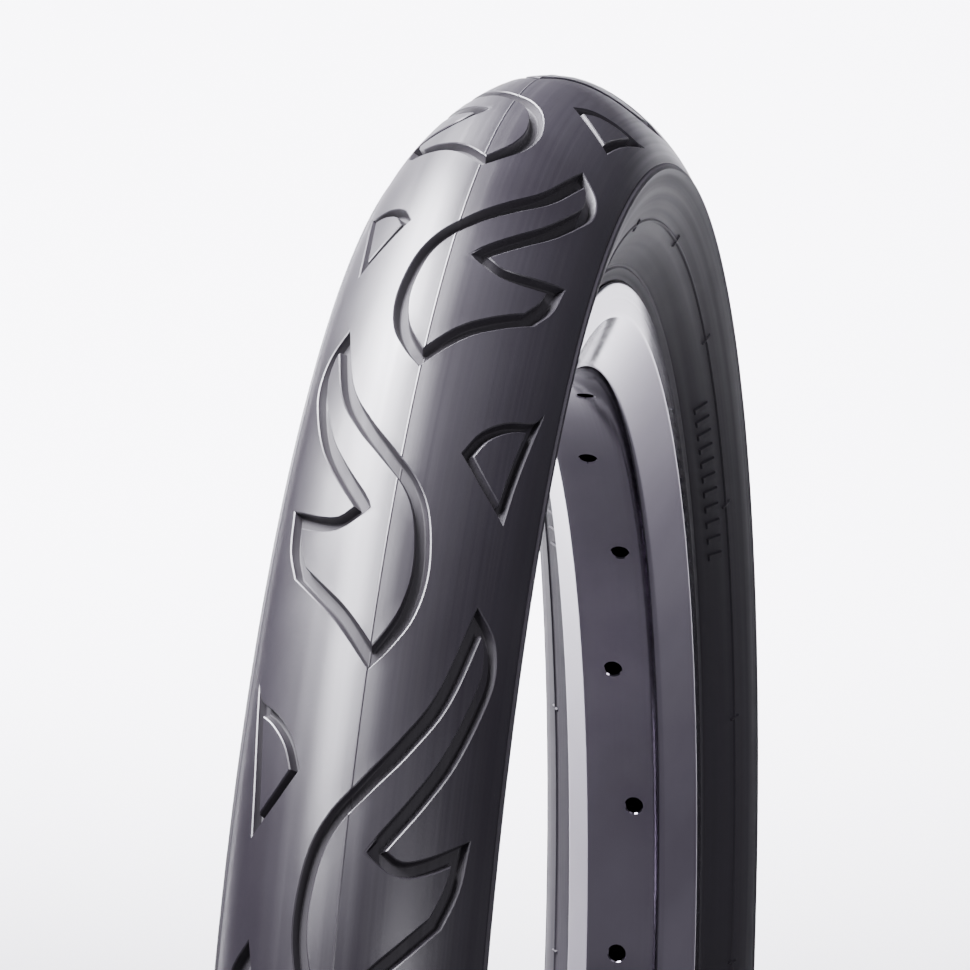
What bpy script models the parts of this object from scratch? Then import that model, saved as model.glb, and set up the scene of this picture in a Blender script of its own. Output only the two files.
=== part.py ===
"""A 20 inch bicycle tyre, fitted with its inner tube and valve on a double-wall rim.

The axle lies along +Y, +Z is up and the origin is the centre of the wheel. A ring is a profile of
(radius, width) points turned about the axle. The valve stands on the Z axis below the centre.
Lengths are in metres.
"""
import math

import bmesh
import bpy
from mathutils import Matrix, Vector

MM = 0.001

# Driving sizes of the wheel
BEAD_SEAT_DIAMETER = 405.6 * MM
TYRE_HEIGHT = 54.2 * MM            # from the bead seat to the crown
TYRE_WIDTH = 57 * MM
RIM_INNER_WIDTH = 31.2 * MM        # between the flanges
SPOKE_HOLES = 28

# Shape of the tyre's section
CROWN_RISE = 21.5 * MM             # from the widest line up to the crown
CROWN_POWER = 1.6                  # 2 gives an ellipse, less a more pointed crown
SIDEWALL_FOOT_HEIGHT = 4.5 * MM    # of the sidewall's lowest bend above the rim's flange
SIDEWALL_FOOT_OVERHANG = 2.0 * MM  # of that bend past the flange's inner face
SIDEWALL_POWER = 1.5               # 1 gives a straight sidewall, more a rounder one
TREAD_EDGE_ANGLE = 8               # degrees above the widest line
SHOULDER_ANGLE = 36
BREAKER_ANGLE = 64
SIDE_ANGLE = -21
FOOT_ANGLE = -50                   # stands for the sidewall's lowest bend

# Thicknesses of the tyre's layers
TREAD_THICKNESS = 4.4 * MM         # at the crown
SIDEWALL_THICKNESS = 1.2 * MM
BREAKER_THICKNESS = 0.8 * MM
PLY_THICKNESS = 0.5 * MM
CHAFER_THICKNESS = 0.7 * MM
TUBE_THICKNESS = 1.1 * MM
TREAD_JOINT_GAP = 0.8 * MM         # between the tread's edge and the sidewall's upper edge
HEM_RISE = 0.9 * MM                # of the sidewall's lower edge above the chafer's

# Beads
BEAD_WIRE_RADIUS = 1.0 * MM
BEAD_WIRE_SIDES = 6
TURN_UP = 3.4 * MM                 # height of the ply's turned-up edge above the bead wire's centre
CHAFER_HEIGHT = 1.2 * MM           # of its outer edge above the rim's flange
CHAFER_TOE_HEIGHT = 3.2 * MM       # of its inner edge above the bead seat

# Rim
FLANGE_HEIGHT = 5.7 * MM
FLANGE_THICKNESS = 1.6 * MM
FLANGE_DEPTH = 8.5 * MM            # of the flange's straight outer face, below its top
BEAD_SEAT_WIDTH = 5.4 * MM
WELL_DEPTH = 3.0 * MM              # of the channel between the bead seats
WELL_SLOPE = 1.0 * MM              # by which the channel's floor is narrower each side
RIM_DEPTH = 15.3 * MM              # from the bead seat to the spoke bed
BED_HALF_WIDTH = 9.0 * MM
BED_CORNER = 1.8 * MM
RIM_WALL = 1.6 * MM
CHAMBER_INSET = 0.5 * MM           # of the hollow's floor from each edge of the bed
SPOKE_HOLE_RADIUS = 2.2 * MM
NIPPLE_HOLE_RADIUS = 4.0 * MM
SPOKE_HOLE_OFFSET = 2.2 * MM       # of each hole from the middle, to alternate sides
RIM_STRIP_THICKNESS = 0.8 * MM
SLEEVE_LENGTH = 32 * MM            # of the sleeve that joins the rim's two ends
SLEEVE_BEVEL = 0.8 * MM

# Valve, with every radius from the valve's own axis
STEM_RADIUS = 3.9 * MM
STEM_LENGTH = 28 * MM              # of the rubber, from the tube's floor
VALVE_BASE_MARGIN = 1.15 * MM      # between the base's rim and the tube's side
VALVE_BASE_THICKNESS = 1.2 * MM
INSERT_RADIUS = 2.9 * MM
CORE_HEAD_BORE = 2.6 * MM
CORE_LOWER_BORE = 1.9 * MM
THREAD_RADIUS = 3.85 * MM
THREAD_LENGTH = 10.4 * MM
CORE_HEAD_LENGTH = 5.0 * MM
CORE_HEAD_RECESS = 0.6 * MM        # of the core below the barrel's tip
CORE_BARREL_LENGTH = 9.0 * MM
CORE_BARREL_WALL = 0.35 * MM
CORE_FLOOR_THICKNESS = 1.0 * MM    # under the spring
GASKET_LENGTH = 1.8 * MM
PIN_RADIUS = 0.4 * MM
PIN_FOOT_THICKNESS = 0.6 * MM
CUP_SEAL_THICKNESS = 1.2 * MM
COLLAR_THICKNESS = 0.6 * MM
SPRING_WIRE_RADIUS = 0.1 * MM
SPRING_TURNS = 5
SPRING_TURN_POINTS = 9             # points in each turn of the coil
CAP_WALL = 1.1 * MM
CAP_SEAL_THICKNESS = 0.8 * MM
CAP_RIBS = 12
CAP_RIB_HEIGHT = 0.35 * MM
CAP_RIB_WIDTH = 0.8 * MM
CAP_RIB_FOOT = 1.0 * MM            # of each rib's lower end above the cap's mouth
CAP_RIB_HEAD = 2.0 * MM            # of each rib's upper end below the cap's top
CAP_BEVEL = 0.5 * MM

GAP = 0.3 * MM                     # between pieces that touch
CORE_GAP = 0.2 * MM                # between the small pieces inside the valve core
CUTTER_OVERRUN = 4.8 * MM          # by which a cutter runs past what it cuts
WELD_DISTANCE = 0.01 * MM

# Fineness
RING_STEPS = 36
VALVE_STEPS = 12
HOLE_SIDES = 6

# Radii and widths that follow from the sizes above
SEAT_RADIUS = BEAD_SEAT_DIAMETER / 2
CROWN_RADIUS = SEAT_RADIUS + TYRE_HEIGHT
WIDEST_RADIUS = CROWN_RADIUS - CROWN_RISE
HALF_WIDTH = TYRE_WIDTH / 2
FLANGE_FACE = RIM_INNER_WIDTH / 2
FLANGE_RADIUS = SEAT_RADIUS + FLANGE_HEIGHT
WELL_RADIUS = SEAT_RADIUS - WELL_DEPTH
BED_RADIUS = SEAT_RADIUS - RIM_DEPTH
SEAT_EDGE = FLANGE_FACE - BEAD_SEAT_WIDTH

FOOT_WIDTH = FLANGE_FACE + SIDEWALL_FOOT_OVERHANG
FOOT_RADIUS = FLANGE_RADIUS + SIDEWALL_FOOT_HEIGHT

CASING_DEPTH_CROWN = TREAD_THICKNESS + GAP + BREAKER_THICKNESS + GAP
CASING_DEPTH_SIDE = SIDEWALL_THICKNESS + GAP

CHAFER_OUTER = FLANGE_FACE - GAP - CHAFER_THICKNESS / 2
CHAFER_BASE = SEAT_RADIUS + GAP + CHAFER_THICKNESS / 2
TURN_UP_OUTER = CHAFER_OUTER - CHAFER_THICKNESS / 2 - GAP - PLY_THICKNESS / 2
PLY_BASE = CHAFER_BASE + CHAFER_THICKNESS / 2 + GAP + PLY_THICKNESS / 2
WIRE_WIDTH = TURN_UP_OUTER - PLY_THICKNESS / 2 - GAP - BEAD_WIRE_RADIUS
WIRE_RADIUS = PLY_BASE + PLY_THICKNESS / 2 + GAP + BEAD_WIRE_RADIUS
PLY_INNER = WIRE_WIDTH - BEAD_WIRE_RADIUS - GAP - PLY_THICKNESS / 2
CHAFER_INNER = PLY_INNER - PLY_THICKNESS / 2 - GAP - CHAFER_THICKNESS / 2

STRIP_RADIUS = WELL_RADIUS + GAP + RIM_STRIP_THICKNESS / 2
STRIP_HALF_WIDTH = SEAT_EDGE - WELL_SLOPE - GAP
TUBE_FLOOR = STRIP_RADIUS + RIM_STRIP_THICKNESS / 2 + GAP + TUBE_THICKNESS / 2
TUBE_FLOOR_WIDTH = STRIP_HALF_WIDTH - GAP - TUBE_THICKNESS
VALVE_BASE_RADIUS = TUBE_FLOOR_WIDTH - TUBE_THICKNESS / 2 - VALVE_BASE_MARGIN
TUBE_SIDE = CHAFER_INNER - CHAFER_THICKNESS / 2 - GAP - TUBE_THICKNESS / 2

# Heights of the valve's pieces, as z on the axis below the wheel's centre
BASE_Z = -(TUBE_FLOOR + TUBE_THICKNESS / 2 + GAP)
STEM_END_Z = BASE_Z + STEM_LENGTH
THREAD_Z = STEM_END_Z + GAP
TIP_Z = THREAD_Z + THREAD_LENGTH
HEAD_Z = TIP_Z - CORE_HEAD_RECESS
HEAD_BASE_Z = HEAD_Z - CORE_HEAD_LENGTH
GASKET_Z = HEAD_BASE_Z - GAP
BORE_STEP_Z = GASKET_Z - GASKET_LENGTH - GAP
BARREL_END_Z = HEAD_BASE_Z - CORE_BARREL_LENGTH
BARREL_FLOOR_Z = BARREL_END_Z + CORE_FLOOR_THICKNESS
BARREL_RADIUS = CORE_LOWER_BORE - GAP
BARREL_BORE = BARREL_RADIUS - CORE_BARREL_WALL
PIN_BORE = PIN_RADIUS + CORE_GAP
CUP_SEAL_Z = BARREL_END_Z - CORE_GAP
PIN_FOOT_Z = CUP_SEAL_Z - CUP_SEAL_THICKNESS - CORE_GAP
PIN_TOP_Z = TIP_Z - GAP
COLLAR_Z = HEAD_BASE_Z - CORE_GAP
SPRING_TOP_Z = COLLAR_Z - COLLAR_THICKNESS - CORE_GAP
SPRING_END_Z = BARREL_FLOOR_Z + CORE_GAP
SPRING_RADIUS = (BARREL_BORE + PIN_RADIUS) / 2
CAP_BORE = THREAD_RADIUS + GAP
CAP_RADIUS = CAP_BORE + CAP_WALL
CAP_MOUTH_Z = THREAD_Z + GAP
CAP_SEAL_Z = TIP_Z + GAP
CAP_CEILING_Z = CAP_SEAL_Z + CAP_SEAL_THICKNESS + GAP
CAP_TOP_Z = CAP_CEILING_Z + CAP_WALL

AXLE_TURN = (-math.pi / 2, 0, 0)   # turns an object's own Z axis onto the axle


# ---------------------------------------------------------------- scene and materials

def clear_scene():
    for obj in list(bpy.data.objects):
        bpy.data.objects.remove(obj, do_unlink=True)


def new_collection(name):
    collection = bpy.data.collections.new(name)
    bpy.context.scene.collection.children.link(collection)
    return collection


def make_material(name, colour, roughness, metallic=0.0):
    material = bpy.data.materials.new(name)
    material.use_nodes = True
    shader = material.node_tree.nodes["Principled BSDF"]
    shader.inputs["Base Color"].default_value = (*colour, 1)
    shader.inputs["Roughness"].default_value = roughness
    shader.inputs["Metallic"].default_value = metallic
    return material


# ---------------------------------------------------------------- building blocks

def link(name, mesh, collection, material=None):
    obj = bpy.data.objects.new(name, mesh)
    collection.objects.link(obj)
    if material:
        mesh.materials.append(material)
    return obj


def profile_mesh(name, points, closed):
    """Edges through (radius, height) points in the XZ plane."""
    count = len(points)
    edges = [(i, i + 1) for i in range(count - 1)]
    if closed:
        edges.append((count - 1, 0))
    mesh = bpy.data.meshes.new(name)
    mesh.from_pydata([(radius, 0, height) for radius, height in points], edges, [])
    return mesh


def turn(obj, steps):
    screw = obj.modifiers.new("turn", "SCREW")
    screw.steps = steps
    screw.render_steps = steps
    screw.use_merge_vertices = True
    screw.merge_threshold = WELD_DISTANCE
    screw.use_smooth_shade = True


def ring(name, points, collection, material=None):
    """A closed profile turned about the axle: the outer side from +Y to -Y, then back inside."""
    obj = link(name, profile_mesh(name, points, closed=True), collection, material)
    turn(obj, RING_STEPS)
    obj.rotation_euler = AXLE_TURN
    return obj


def layer_ring(name, path, thickness, collection, material, closed=False):
    """A layer of even thickness whose middle follows the path, turned about the axle."""
    obj = link(name, profile_mesh(name, path, closed), collection, material)
    turn(obj, RING_STEPS)
    wall = obj.modifiers.new("wall", "SOLIDIFY")
    wall.thickness = thickness
    wall.offset = 0
    wall.use_even_offset = True
    obj.rotation_euler = AXLE_TURN
    return obj


def turned(name, points, collection, material=None, steps=VALVE_STEPS):
    """A closed profile of (radius, z) points turned about the valve's axis."""
    obj = link(name, profile_mesh(name, points, closed=True), collection, material)
    turn(obj, steps)
    return obj


def cut(obj, cutter):
    boolean = obj.modifiers.new("cut " + cutter.name, "BOOLEAN")
    boolean.operation = "DIFFERENCE"
    boolean.object = cutter


def as_cutter(obj):
    obj.hide_render = True
    obj.display_type = "WIRE"
    return obj


def mirrored(points):
    """The same profile on the -Y side, walked the other way so that it still faces out."""
    return [(radius, -width) for radius, width in reversed(points)]


# ---------------------------------------------------------------- the tyre's section

def section_point(angle):
    """(radius, width) on the tyre's outer face: 90 degrees is the crown, 0 the widest line."""
    if angle < 0:
        drop = angle / FOOT_ANGLE
        radius = WIDEST_RADIUS - (WIDEST_RADIUS - FOOT_RADIUS) * drop
        return Vector((radius, HALF_WIDTH - (HALF_WIDTH - FOOT_WIDTH) * drop ** SIDEWALL_POWER))
    cosine = math.cos(math.radians(angle))
    sine = math.sin(math.radians(angle))
    power = 2 / CROWN_POWER
    width = math.copysign(HALF_WIDTH * abs(cosine) ** power, cosine)
    return Vector((WIDEST_RADIUS + CROWN_RISE * sine ** power, width))


def under(angle, depth):
    """The point that lies depth below the tyre's outer face."""
    step = 2   # degrees to each side, over which the slope is taken
    along = section_point(angle - step) - section_point(angle + step)
    inward = Vector((-along.y, along.x)).normalized()
    return section_point(angle) + inward * depth


def casing_depth(angle):
    """Depth of the casing's outer face below the tyre's: deep at the crown, shallow at the side."""
    share = (angle - TREAD_EDGE_ANGLE) / (BREAKER_ANGLE - TREAD_EDGE_ANGLE)
    share = min(1.0, max(0.0, share))
    share = share * share * (3 - 2 * share)
    return CASING_DEPTH_SIDE + (CASING_DEPTH_CROWN - CASING_DEPTH_SIDE) * share


def both_sides(half):
    """A list from the crown down one side, mirrored: from the +Y end over the crown to the -Y end."""
    down = [(point.x, point.y) for point in half[1:]]
    return down[::-1] + [(half[0].x, 0)] + [(radius, -width) for radius, width in down]


def arch(angles, extra_depth):
    """A path over the crown, extra_depth below the casing's outer face."""
    return both_sides([under(angle, casing_depth(angle) + extra_depth) for angle in angles])


LAYER_ANGLES = (90, BREAKER_ANGLE, SHOULDER_ANGLE, TREAD_EDGE_ANGLE, SIDE_ANGLE, FOOT_ANGLE)


def make_tread(parts, rubber):
    """The thick cap of rubber that meets the road."""
    inner_angles = (90, BREAKER_ANGLE, SHOULDER_ANGLE, TREAD_EDGE_ANGLE)
    outer_angles = []
    for high, low in zip(inner_angles, inner_angles[1:]):
        outer_angles += [high, (high + low) / 2]
    outer_angles.append(TREAD_EDGE_ANGLE)
    outer = both_sides([section_point(angle) for angle in outer_angles])
    inner = []
    for angle in inner_angles:
        clearance = GAP
        if angle >= BREAKER_ANGLE:
            clearance = GAP + BREAKER_THICKNESS + GAP
        inner.append(under(angle, casing_depth(angle) - clearance))
    ring("tread", outer + both_sides(inner)[::-1], parts, rubber)


def make_sidewalls(parts, rubber):
    """The thin skins from the tread's edge down to the rim."""
    middle = SIDEWALL_THICKNESS / 2
    top = under(TREAD_EDGE_ANGLE, middle) - Vector((TREAD_JOINT_GAP, 0))
    widest = under(0, middle)
    side = under(SIDE_ANGLE, middle)
    foot = under(FOOT_ANGLE, middle)
    hem = Vector((FLANGE_RADIUS + CHAFER_HEIGHT + HEM_RISE + middle, FLANGE_FACE + middle / 2))
    path = [(p.x, p.y) for p in (top, widest, side, foot, hem)]
    layer_ring("sidewall_left", path, SIDEWALL_THICKNESS, parts, rubber)
    layer_ring("sidewall_right", mirrored(path), SIDEWALL_THICKNESS, parts, rubber)


def make_casing(parts, nylon, breaker_cloth):
    """Two woven plies, the inner one turned up round the bead wires, and the breaker strip."""
    outer_path = arch(LAYER_ANGLES, PLY_THICKNESS / 2)
    layer_ring("casing_ply_outer", outer_path, PLY_THICKNESS, parts, nylon)

    inner_arch = arch(LAYER_ANGLES, PLY_THICKNESS + GAP + PLY_THICKNESS / 2)
    wrap = [
        (WIRE_RADIUS + TURN_UP, TURN_UP_OUTER),
        (PLY_BASE, TURN_UP_OUTER),
        (PLY_BASE, PLY_INNER),
        (WIRE_RADIUS + BEAD_WIRE_RADIUS + GAP, PLY_INNER),
    ]
    inner_path = wrap + inner_arch + mirrored(wrap)
    layer_ring("casing_ply_inner", inner_path, PLY_THICKNESS, parts, nylon)

    breaker_path = arch((90, BREAKER_ANGLE), -(GAP + BREAKER_THICKNESS / 2))
    layer_ring("breaker_strip", breaker_path, BREAKER_THICKNESS, parts, breaker_cloth)


def make_beads(parts, steel, cloth):
    """A steel hoop in each bead, and the cloth that keeps the rim from wearing the casing."""
    hoop = []
    for side in range(BEAD_WIRE_SIDES):
        turn_angle = 2 * math.pi * side / BEAD_WIRE_SIDES
        hoop.append((
            WIRE_RADIUS + BEAD_WIRE_RADIUS * math.sin(turn_angle),
            WIRE_WIDTH + BEAD_WIRE_RADIUS * math.cos(turn_angle),
        ))
    ring("bead_wire_left", hoop, parts, steel)
    ring("bead_wire_right", mirrored(hoop), parts, steel)

    path = [
        (FLANGE_RADIUS + CHAFER_HEIGHT, CHAFER_OUTER),
        (CHAFER_BASE, CHAFER_OUTER),
        (CHAFER_BASE, CHAFER_INNER),
        (SEAT_RADIUS + CHAFER_TOE_HEIGHT, CHAFER_INNER),
    ]
    layer_ring("chafer_left", path, CHAFER_THICKNESS, parts, cloth)
    layer_ring("chafer_right", mirrored(path), CHAFER_THICKNESS, parts, cloth)


# ---------------------------------------------------------------- the rim and what it carries

def make_rim(parts, cutters, aluminium, valve_hole):
    """A hollow rim: two flanges, a channel between the bead seats and a spoke bed."""
    side = FLANGE_FACE + FLANGE_THICKNESS
    shoulder = (BED_RADIUS + BED_CORNER, BED_HALF_WIDTH + BED_CORNER)
    tyre_side = [
        (FLANGE_RADIUS, side),
        (FLANGE_RADIUS, FLANGE_FACE),
        (SEAT_RADIUS, FLANGE_FACE),
        (SEAT_RADIUS, SEAT_EDGE),
        (WELL_RADIUS, SEAT_EDGE - WELL_SLOPE),
    ]
    hub_side = [(BED_RADIUS, BED_HALF_WIDTH), shoulder, (FLANGE_RADIUS - FLANGE_DEPTH, side)]
    points = tyre_side + mirrored(tyre_side)
    points += mirrored(hub_side) + hub_side
    rim = ring("rim", points, parts, aluminium)

    roof = WELL_RADIUS - RIM_WALL
    floor = BED_RADIUS + RIM_WALL
    floor_half = BED_HALF_WIDTH - CHAMBER_INSET
    chamber = [(roof, SEAT_EDGE), (roof, -SEAT_EDGE), (floor, -floor_half), (floor, floor_half)]
    cut(rim, as_cutter(ring("rim_chamber", chamber, cutters)))
    cut(rim, spoke_hole_cutter(cutters))
    cut(rim, valve_hole)


def spoke_hole_cutter(cutters):
    """Stepped holes, wide above for the nipple and narrow in the bed, to alternate sides."""
    mesh = bpy.data.meshes.new("spoke_holes")
    bm = bmesh.new()
    step_radius = (BED_RADIUS + WELL_RADIUS) / 2
    stretches = (
        (BED_RADIUS - CUTTER_OVERRUN, step_radius, SPOKE_HOLE_RADIUS),
        (step_radius, WELL_RADIUS + CUTTER_OVERRUN, NIPPLE_HOLE_RADIUS),
    )
    for index in range(SPOKE_HOLES):
        angle = 2 * math.pi * (index + 0.5) / SPOKE_HOLES
        offset = SPOKE_HOLE_OFFSET if index % 2 else -SPOKE_HOLE_OFFSET
        place = Matrix.Rotation(angle, 4, "Y") @ Matrix.Translation((0, offset, 0))
        for low, high, radius in stretches:
            bmesh.ops.create_cone(
                bm, cap_ends=True, segments=HOLE_SIDES, radius1=radius, radius2=radius,
                depth=high - low,
                matrix=place @ Matrix.Translation((0, 0, -(low + high) / 2)))
    bm.to_mesh(mesh)
    bm.free()
    return as_cutter(link("spoke_holes", mesh, cutters))


def valve_hole_cutter(cutters):
    """The hole for the valve through the rim, its strip and the tube's floor."""
    radius = STEM_RADIUS + GAP
    top = -(BED_RADIUS - CUTTER_OVERRUN)
    bottom = -(TUBE_FLOOR + TUBE_THICKNESS + GAP)
    profile = [(0, top), (radius, top), (radius, bottom), (0, bottom)]
    return as_cutter(turned("valve_hole", profile, cutters))


def make_joint_sleeve(parts, aluminium):
    """The plug in the rim's hollow, at the top, that joins the two ends of the rolled rim."""
    ring_corner = math.cos(math.pi / RING_STEPS)
    roof = math.sqrt(((WELL_RADIUS - RIM_WALL) * ring_corner) ** 2 - (SLEEVE_LENGTH / 2) ** 2) - GAP
    floor = BED_RADIUS + RIM_WALL + GAP
    half_width = min(SEAT_EDGE, BED_HALF_WIDTH - CHAMBER_INSET) - GAP
    mesh = bpy.data.meshes.new("joint_sleeve")
    bm = bmesh.new()
    size = Matrix.Diagonal((SLEEVE_LENGTH, 2 * half_width, roof - floor, 1))
    bmesh.ops.create_cube(bm, size=1, matrix=size)
    bm.to_mesh(mesh)
    bm.free()
    sleeve = link("joint_sleeve", mesh, parts, aluminium)
    sleeve.location = (0, 0, (roof + floor) / 2)
    bevel = sleeve.modifiers.new("edges", "BEVEL")
    bevel.width = SLEEVE_BEVEL
    bevel.segments = 1


def make_rim_strip(parts, rubber, valve_hole):
    """The band that covers the nipples and keeps them from the tube."""
    path = [(STRIP_RADIUS, STRIP_HALF_WIDTH), (STRIP_RADIUS, -STRIP_HALF_WIDTH)]
    strip = layer_ring("rim_strip", path, RIM_STRIP_THICKNESS, parts, rubber)
    cut(strip, valve_hole)


def make_tube(parts, rubber, valve_hole):
    """The inner tube, which fills the casing and the channel of the rim."""
    depth = 2 * PLY_THICKNESS + 2 * GAP + TUBE_THICKNESS / 2
    corner = (TUBE_FLOOR, TUBE_FLOOR_WIDTH)
    side = (SEAT_RADIUS + CHAFER_TOE_HEIGHT + 2 * GAP, TUBE_SIDE)
    path = arch(LAYER_ANGLES, depth) + mirrored([corner, side]) + [corner, side]
    tube = layer_ring("inner_tube", path, TUBE_THICKNESS, parts, rubber, closed=True)
    cut(tube, valve_hole)


# ---------------------------------------------------------------- the valve

def make_stem(parts, rubber, brass):
    """A rubber stem with its base inside the tube, and the threaded brass barrel in it."""
    bore = INSERT_RADIUS + GAP
    base_low = BASE_Z - VALVE_BASE_THICKNESS
    turned("valve_stem", [
        (bore, STEM_END_Z),
        (STEM_RADIUS, STEM_END_Z),
        (STEM_RADIUS, BASE_Z),
        (VALVE_BASE_RADIUS, BASE_Z),
        (VALVE_BASE_RADIUS, base_low),
        (bore, base_low),
    ], parts, rubber)
    turned("valve_barrel", [
        (CORE_HEAD_BORE, TIP_Z),
        (THREAD_RADIUS, TIP_Z),
        (THREAD_RADIUS, THREAD_Z),
        (INSERT_RADIUS, THREAD_Z),
        (INSERT_RADIUS, base_low),
        (CORE_LOWER_BORE, base_low),
        (CORE_LOWER_BORE, BORE_STEP_Z - GAP),
        (CORE_HEAD_BORE, BORE_STEP_Z),
    ], parts, brass)


def make_core(parts, brass, gasket_rubber, steel):
    """The screwed-in core: its plug, gasket, sprung pin and the seal that the pin pulls shut."""
    head_radius = CORE_HEAD_BORE - GAP
    turned("core_plug", [
        (PIN_BORE, HEAD_Z),
        (head_radius, HEAD_Z),
        (head_radius, HEAD_BASE_Z),
        (BARREL_RADIUS, HEAD_BASE_Z),
        (BARREL_RADIUS, BARREL_END_Z),
        (PIN_BORE, BARREL_END_Z),
        (PIN_BORE, BARREL_FLOOR_Z),
        (BARREL_BORE, BARREL_FLOOR_Z),
        (BARREL_BORE, HEAD_BASE_Z),
        (PIN_BORE, HEAD_BASE_Z),
    ], parts, brass)
    gasket_bore = BARREL_RADIUS + CORE_GAP
    turned("core_gasket", [
        (gasket_bore, GASKET_Z),
        (CORE_HEAD_BORE - CORE_GAP, GASKET_Z),
        (CORE_HEAD_BORE - CORE_GAP, GASKET_Z - GASKET_LENGTH),
        (gasket_bore, GASKET_Z - GASKET_LENGTH),
    ], parts, gasket_rubber)
    collar = BARREL_BORE - CORE_GAP
    turned("core_pin", [
        (0, PIN_TOP_Z),
        (PIN_RADIUS, PIN_TOP_Z),
        (PIN_RADIUS, COLLAR_Z),
        (collar, COLLAR_Z),
        (collar, COLLAR_Z - COLLAR_THICKNESS),
        (PIN_RADIUS, COLLAR_Z - COLLAR_THICKNESS),
        (PIN_RADIUS, PIN_FOOT_Z),
        (collar, PIN_FOOT_Z),
        (collar, PIN_FOOT_Z - PIN_FOOT_THICKNESS),
        (0, PIN_FOOT_Z - PIN_FOOT_THICKNESS),
    ], parts, brass)
    turned("core_seal", [
        (PIN_BORE, CUP_SEAL_Z),
        (BARREL_RADIUS - CORE_GAP, CUP_SEAL_Z),
        (BARREL_RADIUS - CORE_GAP, CUP_SEAL_Z - CUP_SEAL_THICKNESS),
        (PIN_BORE, CUP_SEAL_Z - CUP_SEAL_THICKNESS),
    ], parts, gasket_rubber)
    make_spring(parts, steel)


def make_spring(parts, steel):
    """The coil spring that holds the pin's seal shut."""
    curve = bpy.data.curves.new("core_spring", "CURVE")
    curve.dimensions = "3D"
    curve.bevel_depth = SPRING_WIRE_RADIUS
    curve.bevel_resolution = 0
    curve.use_fill_caps = True
    spline = curve.splines.new("POLY")
    count = SPRING_TURNS * SPRING_TURN_POINTS
    spline.points.add(count)
    low = SPRING_END_Z + SPRING_WIRE_RADIUS
    high = SPRING_TOP_Z - SPRING_WIRE_RADIUS
    for index, point in enumerate(spline.points):
        angle = 2 * math.pi * index / SPRING_TURN_POINTS
        height = low + (high - low) * index / count
        point.co = (SPRING_RADIUS * math.cos(angle), SPRING_RADIUS * math.sin(angle), height, 1)
    obj = bpy.data.objects.new("core_spring", curve)
    parts.objects.link(obj)
    curve.materials.append(steel)


def make_cap(parts, cutters, plastic, seal_rubber):
    """The dust cap, with grip ribs outside and a sealing disc inside."""
    cap = turned("valve_cap", [
        (0, CAP_TOP_Z),
        (CAP_RADIUS - CAP_BEVEL, CAP_TOP_Z),
        (CAP_RADIUS, CAP_TOP_Z - CAP_BEVEL),
        (CAP_RADIUS, CAP_MOUTH_Z),
        (CAP_BORE, CAP_MOUTH_Z),
        (CAP_BORE, CAP_CEILING_Z),
        (0, CAP_CEILING_Z),
    ], parts, plastic, steps=2 * CAP_RIBS)
    rib_mesh = bpy.data.meshes.new("cap_ribs")
    bm = bmesh.new()
    foot = CAP_MOUTH_Z + CAP_RIB_FOOT
    head = CAP_TOP_Z - CAP_RIB_HEAD
    for index in range(CAP_RIBS):
        angle = 2 * math.pi * (index + 0.5) / CAP_RIBS
        place = Matrix.Rotation(angle, 4, "Z")
        middle = Vector((CAP_RADIUS, 0, (foot + head) / 2))
        size = Matrix.Diagonal((2 * CAP_RIB_HEIGHT, CAP_RIB_WIDTH, head - foot, 1))
        bmesh.ops.create_cube(bm, size=1, matrix=place @ Matrix.Translation(middle) @ size)
    bm.to_mesh(rib_mesh)
    bm.free()
    union = cap.modifiers.new("ribs", "BOOLEAN")
    union.operation = "UNION"
    union.object = as_cutter(link("cap_ribs", rib_mesh, cutters))
    turned("cap_seal", [
        (0, CAP_SEAL_Z + CAP_SEAL_THICKNESS),
        (CAP_BORE - GAP, CAP_SEAL_Z + CAP_SEAL_THICKNESS),
        (CAP_BORE - GAP, CAP_SEAL_Z),
        (0, CAP_SEAL_Z),
    ], parts, seal_rubber)


def main():
    clear_scene()
    parts = new_collection("bicycle_tyre")
    cutters = new_collection("cutters")

    tread_rubber = make_material("tread_rubber", (0.03, 0.028, 0.034), 0.42)
    side_rubber = make_material("sidewall_rubber", (0.035, 0.032, 0.04), 0.5)
    tube_rubber = make_material("tube_rubber", (0.02, 0.02, 0.022), 0.6)
    nylon = make_material("ply_nylon", (0.36, 0.26, 0.14), 0.8)
    breaker_cloth = make_material("breaker_cloth", (0.45, 0.2, 0.06), 0.8)
    chafer_cloth = make_material("chafer_cloth", (0.06, 0.055, 0.05), 0.85)
    steel = make_material("bead_steel", (0.55, 0.5, 0.42), 0.35, 1)
    aluminium = make_material("rim_aluminium", (0.86, 0.86, 0.89), 0.14, 1)
    strip_rubber = make_material("strip_rubber", (0.25, 0.05, 0.04), 0.6)
    brass = make_material("valve_brass", (0.75, 0.6, 0.3), 0.3, 1)
    seal_rubber = make_material("seal_rubber", (0.3, 0.03, 0.02), 0.6)
    plastic = make_material("cap_plastic", (0.02, 0.02, 0.02), 0.4)

    make_tread(parts, tread_rubber)
    make_sidewalls(parts, side_rubber)
    make_casing(parts, nylon, breaker_cloth)
    make_beads(parts, steel, chafer_cloth)

    valve_hole = valve_hole_cutter(cutters)
    make_rim(parts, cutters, aluminium, valve_hole)
    make_joint_sleeve(parts, aluminium)
    make_rim_strip(parts, strip_rubber, valve_hole)
    make_tube(parts, tube_rubber, valve_hole)

    make_stem(parts, tube_rubber, brass)
    make_core(parts, brass, seal_rubber, steel)
    make_cap(parts, cutters, plastic, seal_rubber)


main()
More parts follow.
